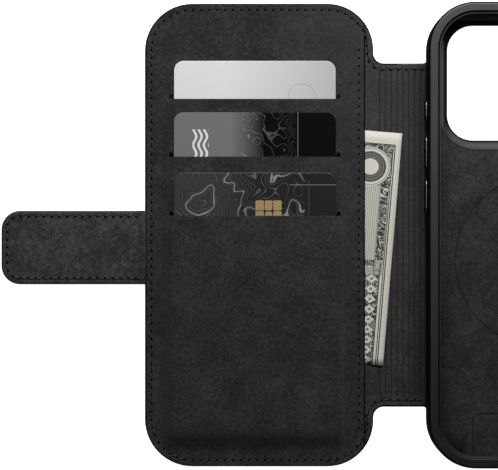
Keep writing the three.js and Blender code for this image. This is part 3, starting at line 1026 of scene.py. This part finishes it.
def makeLinings(size):
    corners = coverOutline(size["inset"], seamX)
    bm = sheetSolid(corners, size["bottom"], size["spineTop"], size["edge"], seams=[seamX])
    fold = foldX["cover_fold"]
    cut(bm, "x", foldCuts(fold))
    cut(bm, "x", [fold - 2, fold - 2.4, fold - 3, -70, -90, -110])
    ribCuts(bm, size, fold - 1, seamX)
    rim = size["boardRim"]
    for vert in bm.verts:
        x, y, z = vert.co
        isTop = z > (size["bottom"] + size["spineTop"]) / 2
        if isTop:
            rise = (size["coverTop"] - size["spineTop"]) * liningRise(x, size)
            vert.co.z += rise + ribHeight(x, y, size)
        else:
            deep = min(x - coverLow.x, coverHigh.y - abs(y)) > rim
            vert.co.z += (size["boardTop"] - size["bottom"]) * smoothStep((fold - 1.2 - x) / 0.8) * deep
    piece = finishPiece(bm, "cover_lining_sheet", [spineSuede, paintedEdge])
    blendAcross(piece, "cover_fold")
    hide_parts("cover_lining", "spine_lining")
    declareSheet(corners)

    wall = shellLow.x - size["wallGap"]
    half = hide["spineHalf"] - size["inset"]
    corners = rectCorners(seamX, -half, wall, half, 0)
    bm = sheetSolid(corners, size["bottom"], size["spineTop"], size["edge"], seams=[seamX])
    cut(bm, "x", [x for x in foldCuts(foldX["spine_fold"]) if x < wall])
    ribCuts(bm, size, seamX, wall)
    for vert in bm.verts:
        if vert.co.z > (size["bottom"] + size["spineTop"]) / 2:
            vert.co.z += ribHeight(vert.co.x, vert.co.y, size)
    piece = finishPiece(bm, "spine_lining_strip", [spineSuede, paintedEdge])
    blendAcross(piece, "spine_fold")
    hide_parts("spine_lining")


makeLinings(ribs)


# card panel with three slits
panelLow, panelHigh = span("card_panel")
slots = {
    "foldGap": 0.25,
    "corner": 15.55,
    "foldCorner": 15.05,
    "thick": 0.35,
    "slits": [45.45, 26.1, 6.4],
    "slitHalf": 28.7,
    "step": 1.21,
    "plateau": 27.3,
    "sideFall": 4.6,
    "stackEnd": -65.2,
    "endFall": 7.2,
    "notchHalf": 0.8,
    "notchDeep": 1.5,
    "notchReach": 3.2,
    "rings": (0.1, 0.3, 0.7, 1.3, 1.75, 2.08, 2.4, 2.9),
    "stitchInset": 2.08,
    "stitchDip": 0.13,
    "skirt": 0.75,
    "hemShadowLine": 0.42,
}
cardX = (span("card_one")[0].x + span("card_one")[1].x) / 2
baseTop = panelLow.z + slots["thick"]


def roundedDistance(x, y):
    # how far inside the sewn edge a point lies
    radius = slots["corner"] if x < cardX else slots["foldCorner"]
    nearX = min(x - panelLow.x, foldX["cover_fold"] - slots["foldGap"] - x)
    nearY = panelHigh.y - abs(y)
    if nearX < radius and nearY < radius:
        return radius - math.hypot(radius - nearX, radius - nearY)
    return min(nearX, nearY)


def stackHeight(x, y, isLower):
    # how much the cards under the panel lift it; isLower is the strip's side of a slit
    level = sum(1 for slit in slots["slits"] if y < slit - tiny or (isLower and abs(y - slit) < tiny))
    if level == 0:
        return 0.0
    across = abs(x - cardX)
    slitY = slots["slits"][level - 1]
    nearSlit = smoothStep(1 - (slitY - y) / 6)
    fall = slots["sideFall"] * (1 - nearSlit) + 1.5 * nearSlit
    side = 1 - smoothStep((across - slots["plateau"]) / fall)
    end = smoothStep((y - slots["stackEnd"] + slots["endFall"]) / slots["endFall"])
    below = (level - 1) * slots["step"]
    sideBelow = 1 - smoothStep((across - slots["plateau"]) / slots["sideFall"])
    return (below * sideBelow + slots["step"] * side) * end


def panelTop(x, y, isLower=False):
    away = roundedDistance(x, y)
    hem = panelHigh.x - x
    z = baseTop + stackHeight(x, y, isLower)
    z -= slots["skirt"] * max(0.0, 1 - away / 0.32) ** 2.2
    z -= 0.22 * max(0.0, 1 - hem / 0.35) ** 2
    near = min(away, hem)
    z -= slots["stitchDip"] * max(0.0, 1 - abs(near - slots["stitchInset"]) / 0.85) ** 1.5
    return z


def makeCardPanel(size):
    bm = bmesh.new()
    radius = size["corner"]
    left, right = panelLow.x, panelHigh.x
    full = foldX["cover_fold"] - size["foldGap"]
    roundFace(bm, rectCorners(left, panelLow.y, full, panelHigh.y, radius, size["foldCorner"]), 0, 20)
    last = 0
    for inset in size["rings"]:
        inner = max(bm.faces, key=lambda face: face.calc_area())
        bmesh.ops.inset_region(
            bm, faces=[inner], thickness=inset - last, use_even_offset=True, use_boundary=True
        )
        last = inset
    bmesh.ops.bisect_plane(
        bm, geom=everything(bm), dist=1e-5, plane_co=(right, 0, 0), plane_no=(1, 0, 0), clear_outer=True
    )
    cut(bm, "x", [right - inset for inset in size["rings"]] + [right - size["hemShadowLine"]])
    nearSlits = [slit + d for slit in size["slits"] for d in (-3, -1.5, -0.7, 0, 0.7, 1.5)]
    cut(bm, "y", sorted(set(steps(-74, 74, 2) + nearSlits)))
    half = size["slitHalf"]
    inner = [27, half - 2 * size["notchHalf"], half - 1.2, half - 0.8, half - 0.4, half, half + 0.5, half + 1]
    columns = steps(left + 3.5, right - 3.5, 2.2) + [cardX + s * d for d in inner for s in (-1, 1)]
    cut(bm, "x", sorted(columns))

    def onSlit(vert):
        isAcross = abs(vert.co.x - cardX) < half + tiny
        return isAcross and any(abs(vert.co.y - slit) < tiny for slit in size["slits"])

    slitEdges = [edge for edge in bm.edges if all(onSlit(vert) for vert in edge.verts)]
    bmesh.ops.split_edges(bm, edges=slitEdges)
    lower = set()
    for vert in bm.verts:
        isBelow = all(face.calc_center_median().y < vert.co.y for face in vert.link_faces)
        if onSlit(vert) and vert.link_faces and isBelow:
            lower.add(vert)
    for vert in bm.verts:
        x, y, z = vert.co
        vert.co.z = panelTop(x, y, vert in lower)
    for vert in bm.verts:
        if vert in lower:
            continue
        for slit in size["slits"]:
            across = (abs(vert.co.x - cardX) - (half - size["notchHalf"])) / size["notchHalf"]
            above = (vert.co.y - slit) / size["notchReach"]
            if -tiny < above < 1 and abs(across) < 1 - tiny:
                vert.co.y += size["notchDeep"] * (1 - across ** 2) ** 0.5 * (1 - above)
                break
    # the hem's last strip takes the near-black paint as a painted shadow line; the rim takes the edge paint
    for face in bm.faces:
        middle = face.calc_center_median()
        inHemShadow = panelHigh.x - middle.x < size["hemShadowLine"]
        face.material_index = 2 if inHemShadow else int(roundedDistance(middle.x, middle.y) < 0.25)
    materials = [panelSuede, paintedEdge, paintedShadeBlack]
    piece = finishPiece(bm, "card_panel_sheet", materials, facing=(0, 0, 1), sharp=50)
    thicken(piece, size["thick"] * mm).material_offset_rim = 1
    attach(piece, "cover")
    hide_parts("card_panel")
    corners = rectCorners(left, panelLow.y, right, panelHigh.y, radius, 9)
    declareSheet(corners)


makeCardPanel(slots)


# strap
strap = {
    "endCorner": 6.3,
    "leatherTop": 0.72,
    "top": 1.25,
    "edge": 0.3,
    "rise": 0.98,
    "riseStart": 0.6,
    "riseReach": 2.6,
    "tailX": -125.0,
    "liningEnd": -131.6,
}
strapY = (tipLow.y + tipHigh.y) / 2
strapHalf = (tipHigh.y - tipLow.y) / 2
strapSeam = (foldX["strap_root_fold"] + foldX["strap_tip_fold"]) / 2


def strapRise(x, size):
    return size["rise"] * smoothStep((x - foldX["strap_root_fold"] + size["riseStart"]) / size["riseReach"])


def makeStrap(size):
    y0, y1 = strapY - strapHalf, strapY + strapHalf
    layers = [
        ("leather", 0, size["leatherTop"], size["tailX"], backLeather, "outer_leather", -0.12, 0),
        ("lining", size["leatherTop"], size["top"], size["liningEnd"], strapSuede, "strap_suede", 0, 0.4),
    ]
    replaced = {
        "leather": (["strap_root_leather", "strap_tail"], ["strap_tip_leather"]),
        "lining": (["strap_root_lining"], ["strap_tip_lining"]),
    }
    for kind, low, high, end, material, slotName, thin, inset in layers:
        root = rectCorners(strapSeam, y0 + inset, end, y1 - inset, 0)
        bm = sheetSolid(root, low, high, size["edge"], seams=[strapSeam])
        if kind == "leather":
            paintRim(bm)
        cut(bm, "x", foldCuts(foldX["strap_root_fold"]) + [-132.5, -132, -131])
        cut(bm, "y", steps(y0 + 3, y1 - 3, 3))
        for vert in bm.verts:
            lift = strapRise(vert.co.x, size)
            isTop = vert.co.z > (low + high) / 2
            vert.co.z += lift + (thin * lift / size["rise"] if isTop else 0)
        piece = finishPiece(bm, "strap_" + kind + "_root", [material, strapEdge])
        blendAcross(piece, "strap_root_fold")
        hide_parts(*replaced[kind][0])
        declareSheet(root)

        tip = rectCorners(tipLow.x + inset, y0 + inset, strapSeam, y1 - inset, size["endCorner"] - inset, 0)
        bm = sheetSolid(tip, low, high, size["edge"], seams=[strapSeam])
        if kind == "leather":
            paintRim(bm)
        cut(bm, "x", foldCuts(foldX["strap_tip_fold"]))
        piece = finishPiece(bm, "strap_" + kind + "_tip", [material, strapEdge])
        blendAcross(piece, "strap_tip_fold")
        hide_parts(*replaced[kind][1])
        declareSheet(tip)


makeStrap(strap)


# stitching
stitch = {
    "pitch": 2.68,
    "strapPitch": 2.6,
    "inset": 2.08,
    "length": 1.95,
    "width": 0.42,
    "height": 0.24,
    "sink": -0.02,
    "slant": math.radians(13),
    "hole": 0.5,
    "shadow": 0.32,
}


def pathOf(corners):
    # the outline's points in order
    bm = bmesh.new()
    roundFace(bm, corners, 0, 16)
    points = [loop.vert.co.copy() for loop in bm.faces[:][0].loops]
    bm.free()
    return points


def spaced(points, pitch):
    # evenly spaced places along a polyline, with the direction at each
    lengths = [(b - a).length for a, b in zip(points, points[1:])]
    total = sum(lengths)
    count = max(1, round(total / pitch))
    found, run, index = [], 0.0, 0
    for i in range(count):
        want = (i + 0.5) * total / count
        while index < len(lengths) - 1 and run + lengths[index] < want:
            run += lengths[index]
            index += 1
        a, b = points[index], points[index + 1]
        found.append((a.lerp(b, (want - run) / lengths[index]), (b - a).normalized()))
    return found


def addStitch(bm, place, direction, height, isUnder, size, dash=True):
    # a needle hole as a near-black pit, the thread between two holes and a near-black strip beside it; pit
    # and strip are painted shade
    turn = math.atan2(direction.y, direction.x)
    side = -1 if isUnder else 1
    lay = Matrix.Rotation(turn + size["slant"] * side, 4, "Z") @ Matrix.Rotation(math.radians(90), 4, "Y")
    if dash:
        strand = bmesh.ops.create_uvsphere(bm, u_segments=8, v_segments=5, radius=0.5)["verts"]
        shape = Matrix.Diagonal((size["height"], size["width"], size["length"], 1))
        centre = Matrix.Translation((place.x, place.y, height + side * size["sink"]))
        bmesh.ops.transform(bm, matrix=centre @ lay @ shape, verts=strand)
    dark = set()
    back = place - direction * size["pitch"] / 2
    pit = bmesh.ops.create_uvsphere(bm, u_segments=8, v_segments=4, radius=size["hole"])["verts"]
    centre = Matrix.Translation((back.x, back.y, height - side * 0.02))
    bmesh.ops.transform(bm, matrix=centre @ Matrix.Diagonal((1, 1, 0.22, 1)), verts=pit)
    dark.update(pit)
    if dash:
        across = Vector((direction.y, -direction.x, 0)) * size["shadow"]
        creaseShadow = bmesh.ops.create_uvsphere(bm, u_segments=6, v_segments=4, radius=0.5)["verts"]
        shape = Matrix.Diagonal((0.16, 0.3, size["pitch"] * 0.9, 1))
        centre = Matrix.Translation((place.x + across.x, place.y + across.y, height))
        bmesh.ops.transform(bm, matrix=centre @ lay @ shape, verts=creaseShadow)
        dark.update(creaseShadow)
    for face in {face for vert in dark for face in vert.link_faces}:
        face.material_index = 1


def stitchRow(name, places, heightAt, sides=("top", "under"), dash=True, yarn=thread, size=stitch):
    bm = bmesh.new()
    holder = bpy.data.meshes.new("few")
    for place, direction in places:
        few = bmesh.new()
        for side in sides:
            isUnder = side == "under"
            height = 0.0 if isUnder else heightAt(place.x, place.y)
            addStitch(few, place, direction, height, isUnder, size, dash)
        few.to_mesh(holder)
        few.free()
        bm.from_mesh(holder)
    bpy.data.meshes.remove(holder)
    return finishPiece(bm, name, [yarn, paintedShadeBlack], sharp=80)


def liningTop(x, y):
    return ribs["spineTop"] + (ribs["coverTop"] - ribs["spineTop"]) * liningRise(x, ribs)


def rowTop(x, y):
    return panelTop(x, y) if x < panelHigh.x else liningTop(x, y)


def strapTop(x, y):
    return strap["top"] + strapRise(x, strap)


def makeStitching(size):
    wall = shellLow.x
    outline = pathOf(coverOutline(size["inset"], seamX + 30))
    start = max(range(len(outline)), key=lambda i: (outline[i].x, -abs(outline[i].y - 50)))
    outline = outline[start:] + outline[:start]
    if outline[1].x > outline[0].x - tiny:
        outline = outline[1:] + outline[:1]
    places = spaced(outline, size["pitch"])
    row = [(p, d) for p, d in places if p.x < seamX]
    piece = stitchRow("cover_stitches", row, rowTop)
    blendAcross(piece, "cover_fold")
    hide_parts("cover_thread")
    row = [(p, d) for p, d in places if seamX <= p.x < wall - 0.6]
    piece = stitchRow("spine_stitches", row, liningTop)
    blendAcross(piece, "spine_fold")
    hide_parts("spine_thread_upper", "spine_thread_lower")

    hemX = panelHigh.x - size["inset"] + 0.05
    hem = [Vector((hemX, y, 0)) for y in (-64.6, 64.6)]
    piece = stitchRow("hem_stitches", spaced(hem, size["pitch"]), rowTop, sides=("top",), dash=False)
    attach(piece, "cover")
    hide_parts("panel_thread")

    inset = size["inset"]
    y0, y1 = strapY - strapHalf + inset, strapY + strapHalf - inset
    outline = pathOf(rectCorners(tipLow.x + inset, y0, -120, y1, strap["endCorner"] - inset, 0))
    start = min(range(len(outline)), key=lambda i: (-outline[i].x, -outline[i].y))
    outline = outline[start:] + outline[:start]
    places = [(p, d) for p, d in spaced(outline, size["strapPitch"]) if p.x < coverLow.x + 0.2]
    row = [(p, d) for p, d in places if p.x >= strapSeam]
    piece = stitchRow("strap_root_stitches", row, strapTop, yarn=strapThread)
    blendAcross(piece, "strap_root_fold")
    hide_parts("strap_root_thread_upper", "strap_root_thread_lower")
    row = [(p, d) for p, d in places if p.x < strapSeam]
    piece = stitchRow("strap_tip_stitches", row, strapTop, yarn=strapThread)
    blendAcross(piece, "strap_tip_fold")
    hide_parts("strap_tip_thread")


makeStitching(stitch)


# cards
def cardFinish(name, art):
    # a laminate whose tone fades across its width, with wandering contour lines of no particular place; on
    # the silver card the fade is a painted sheen
    look = Paint(name)
    x, y = look.parts()[:2]
    across = x - cardX
    start, end = art["fade"]
    fade = ((across - start) / (end - start)).clamped()
    shade = look.mix(fade, art["left"], art["right"])
    hills = look.noise(art["hill"], 2, 0.5, twist=0.2) * art["levels"]
    patch = ((look.noise(13, 1) - 0.46) * 6).clamped() * 0.7 + 0.3
    away = abs(hills.fraction() - 0.5) * 2
    fine = ((away - 0.83) * 8).clamped()
    bold = (1.3 - abs(hills - art["boldLevel"]) * 8).clamped()
    lineStart, lineEnd = art["lines"]
    zone = ((across - lineStart) * 0.8).clamped() * ((lineEnd - across) * 0.8).clamped()
    shade = look.mix((fine * patch * 0.6 + bold).clamped() * zone * art["lineShare"], shade, art["ink"])
    for axis, where, low, high, share in art["rules"]:
        along, over = (x, y) if axis == "y" else (y, x)
        rule = (abs(over - where) < 0.13) * (along > low) * (along < high)
        shade = look.mix(rule * share, shade, art["ink"])
    if art["waves"]:
        low, high, top = art["waves"]
        wave = ((y * 1.1).sine() * 0.3 + across * 0.56).fraction()
        mark = (wave > 0.55) * (across > low) * (across < high) * (y < top)
        shade = look.mix(mark * 0.9, shade, grey(0.62))
    if art["loop"]:
        loopX, loopY, radius = art["loop"]
        u = across - loopX
        v = y - loopY
        reach = (u * u + v * v).root() + look.noise(4, 1) * 1.6
        outline = (abs(reach - radius) < 0.14) * 1.0
        shade = look.mix(outline * 0.55, shade, grey(0.2))
    look.set(BaseColor=shade)
    look.set(Roughness=look.noise(0.3, 2) * 0.08 + art["rough"], SpecularLevel=art["shine"])
    look.bump(look.noise(0.2, 2), 0.006, 0.6)
    return look.material


cardArt = {
    "card_one": {
        "body": "first_card", "slot": "silver_card", "rough": 0.34, "shine": 0.5,
        # the silver card's left-to-right fade is a painted sheen
        "left": grey(0.53), "right": grey(0.33), "fade": (-10, 27),
        "hill": 17, "levels": 4, "boldLevel": 9, "lines": (0, 0.1), "lineShare": 0, "ink": grey(0.3),
        "rules": [], "waves": None, "loop": (15.6, 45.8, 5.4),
    },
    "card_two": {
        "body": "second_card", "slot": "grey_card", "rough": 0.36, "shine": 0.05,
        "left": grey(0.125), "right": grey(0.0015), "fade": (-8, 3),
        "hill": 16, "levels": 30, "boldLevel": 15.5, "lines": (-5.2, 14.2), "lineShare": 0.8,
        "ink": grey(0.3), "rules": [("x", -81.2, 20, 60, 0.35)], "waves": (-20.8, -15.4, 35.2), "loop": None,
    },
    "card_three": {
        "body": "third_card", "slot": "black_card", "rough": 0.27, "shine": 0.35,
        "left": grey(0.024), "right": grey(0.007), "fade": (-12, 2),
        "hill": 17, "levels": 28, "boldLevel": 13.6, "lines": (-27, 17), "lineShare": 0.7,
        "ink": grey(0.28), "rules": [("y", 16.7, -84, -68.5, 0.4), ("x", -77.6, 6, 18, 0.12)],
        "waves": None, "loop": None,
    },
}
cardShape = {"corner": 3.18, "edge": 0.1, "ring": 0.15}


def makeCards(size):
    for node, art in cardArt.items():
        low, high = span(node)
        bm = bmesh.new()
        roundFace(bm, rectCorners(low.x, low.y, high.x, high.y, size["corner"]), low.z, 10)
        extrude(bm, bm.faces[:], high.z - low.z)
        rim = [e for e in bm.edges if abs(e.verts[0].co.z - e.verts[1].co.z) < tiny]
        bevel(bm, rim, size["edge"], 2)
        bm.normal_update()
        insetCaps(bm, 2, size["ring"])
        piece = finishPiece(bm, node + "_laminate", [cardFinish(node + "Print", art)])
        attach(piece, art["body"])
        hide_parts(node)


makeCards(cardShape)


chip = {"proud": 0.03, "gap": 0.3, "column": 3.1, "row": 3.6, "pad": 0.12, "plate": 0.15, "sink": 0.06}


def makeContactPlate(size):
    low, high = span("card_chip")
    top = high.z + size["proud"]
    bm = bmesh.new()
    middle = (low + high) / 2
    gap = size["gap"]
    columns = [low.x, low.x + size["column"], high.x - size["column"], high.x]
    rows = [low.y, low.y + size["row"], middle.y, high.y - size["row"], high.y]
    for i in range(3):
        for j in range(4):
            if i == 1 and j in (1, 2):
                continue
            x0, x1 = columns[i] + gap / 2, columns[i + 1] - gap / 2
            y0, y1 = rows[j] + gap / 2, rows[j + 1] - gap / 2
            roundFace(bm, rectCorners(x0, y0, x1, y1, 0.35), top, 4)
    x0, x1 = columns[1] + gap / 2, columns[2] - gap / 2
    roundFace(bm, rectCorners(x0, rows[1] + gap / 2, x1, rows[3] - gap / 2, 1), top, 5)
    extrude(bm, bm.faces[:], -size["pad"])
    before = set(bm.faces)
    roundFace(bm, rectCorners(low.x, low.y, high.x, high.y, 1.4), top - size["sink"], 8)
    extrude(bm, [face for face in bm.faces if face not in before], -size["plate"])
    for face in bm.faces:
        face.material_index = int(face.calc_center_median().z < top - 0.055 and face.calc_area() > 20)
    piece = finishPiece(bm, "contact_plate", [contactGold, paintedEdge])
    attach(piece, "third_card")
    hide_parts("card_chip")


makeContactPlate(chip)


# folded banknote
note = {
    "width": 66.3,
    "length": 78,
    "centre": (-82.47, -2.12),
    "turn": math.radians(-4.75),
    "paper": 0.12,
    "sink": 0.05,
    "lift": 0.1,
    "wave": 0.12,
    "waveReach": 9,
}


def noteFinish(name, size):
    # an invented note: border rules, a ringed oval, a hatched field and a column of lozenges
    look = Paint(name)
    turned = {"Vector": look.place, "Location": (*size["centre"], 0), "Rotation": (0, 0, size["turn"])}
    local = look.node("Mapping", {"vector_type": "TEXTURE"}, turned)
    u, v = look.parts(local)[:2]
    edge = size["width"] / 2 - u
    drop = size["length"] / 2 - v

    def rule(value, where, half):
        return (abs(value - where) < half) * 1.0

    def band(value, low, high):
        return (value > low) * (value < high)

    curls = look.noise(3.6, 1, 0.5, twist=1.2) * 8
    curls = (abs(curls.fraction() - 0.5) * 9 - 0.7).clamped()
    hatch = (edge * 9.5).sine() * 0.5 + 0.5
    ringX = (edge - 9.7) / 6.7
    ringY = (drop - 11.9) / 6.5
    ring = (ringX * ringX + ringY * ringY).root()
    ground = curls * 0.92 + 0.12
    column = band(edge, 2.9, 5.6) * band(drop, 18, 43) * ground
    field = (edge > 5.9) * band(drop, 18, 45) * (hatch * 0.5 + 0.04)
    field = field + rule(edge, 5.75, 0.12) * band(drop, 18, 49) * 0.7
    lozenge = abs((drop / 3.4).fraction() - 0.5) * 2 + abs(edge - 6.2) / 2.3
    lozenges = (drop > 48) * (edge > 3.9) * ((lozenge > 0.85) * ground + (lozenge < 0.3) * 0.8)
    scroll = band(drop, 43, 48) * (edge > 2.9) * curls * 0.6
    upper = (drop < 18) * (edge > 2.5) * ground
    ringed = ((ring * 46).sine() * 0.5 + 0.5) * 0.25 + 0.75
    oval = rule(ring, 0.93, 0.02) * 0.7 + band(ring, 0.42, 0.8) * ringed
    outside = (ring > 1) * 1.0
    body = column + field + lozenges + scroll + upper
    ink = body * outside + oval * (1 - outside)
    rules = rule(edge, 1.95, 0.22) + rule(edge, 2.6, 0.16) + rule(edge, 3.7, 0.18) * (drop > 44)
    rules = rules + rule(drop, 4.1, 0.22) + rule(drop, 4.7, 0.14)
    inFrame = (edge > 1.8) * (drop > 3.95)
    paper = look.noise(0.7, 3)
    cream = look.mix(paper, (0.43, 0.42, 0.36), (0.53, 0.52, 0.455))
    look.set(BaseColor=look.mix(inFrame * (ink + rules).clamped() * 0.96, cream, (0.004, 0.0045, 0.004)))
    look.set(Roughness=paper * 0.1 + 0.78)
    look.bump(paper, 0.03)
    return look.material


def makeBanknote(size):
    low, high = span("banknote")
    halfX, halfY = size["width"] / 2, size["length"] / 2
    bm = bmesh.new()
    bmesh.ops.create_grid(bm, x_segments=40, y_segments=30, size=1)
    bmesh.ops.scale(bm, vec=(halfX, halfY, 1), verts=bm.verts)
    place = Matrix.Translation((*size["centre"], 0)) @ Matrix.Rotation(size["turn"], 4, "Z")
    bmesh.ops.transform(bm, matrix=place, verts=bm.verts)
    edge = panelHigh.x
    for vert in bm.verts:
        out = smoothStep((vert.co.x - edge + 0.5) / size["waveReach"])
        wave = size["wave"] * out * math.sin(vert.co.y / size["waveReach"])
        vert.co.z = high.z - size["sink"] + size["lift"] * out + wave
    piece = finishPiece(bm, "banknote_paper", [noteFinish("notePrint", size)], facing=(0, 0, 1))
    thicken(piece, size["paper"] * mm)
    blendAcross(piece, "cover_fold")
    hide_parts("banknote", "banknote_end")


makeBanknote(note)


# pieces kept from the frame
def dressFrame():
    looks = {
        "back_tray": plastic("trayPlastic", 0.02, 0.45, onCad=True),
        "magnet_ring": satinMetal("ringPlating", (0.6, 0.6, 0.62), 0.3, 0.3, onCad=True),
        "alignment_magnet": satinMetal("barPlating", (0.6, 0.6, 0.62), 0.3, 0.3, onCad=True),
        "strap_catch_magnet": satinMetal("catchPlating", (0.58, 0.58, 0.6), 0.32, 0.3, onCad=True),
        "strap_magnet": satinMetal("strapPlating", (0.6, 0.6, 0.62), 0.32, 0.3, onCad=True),
        "cover_board": boardFinish("stiffener"),
        # the pocket backing is made near black as painted shade, since it is only seen in shadow through the
        # slit ends
        "pocket_backing": suede("pocketSuedePaintedShade", tones["lining"] * 0.1, onCad=True),
    }
    for node, material in looks.items():
        mesh = frame["nodes"][node].data
        mesh.materials.clear()
        mesh.materials.append(material)
    print("frame dressed")


dressFrame()
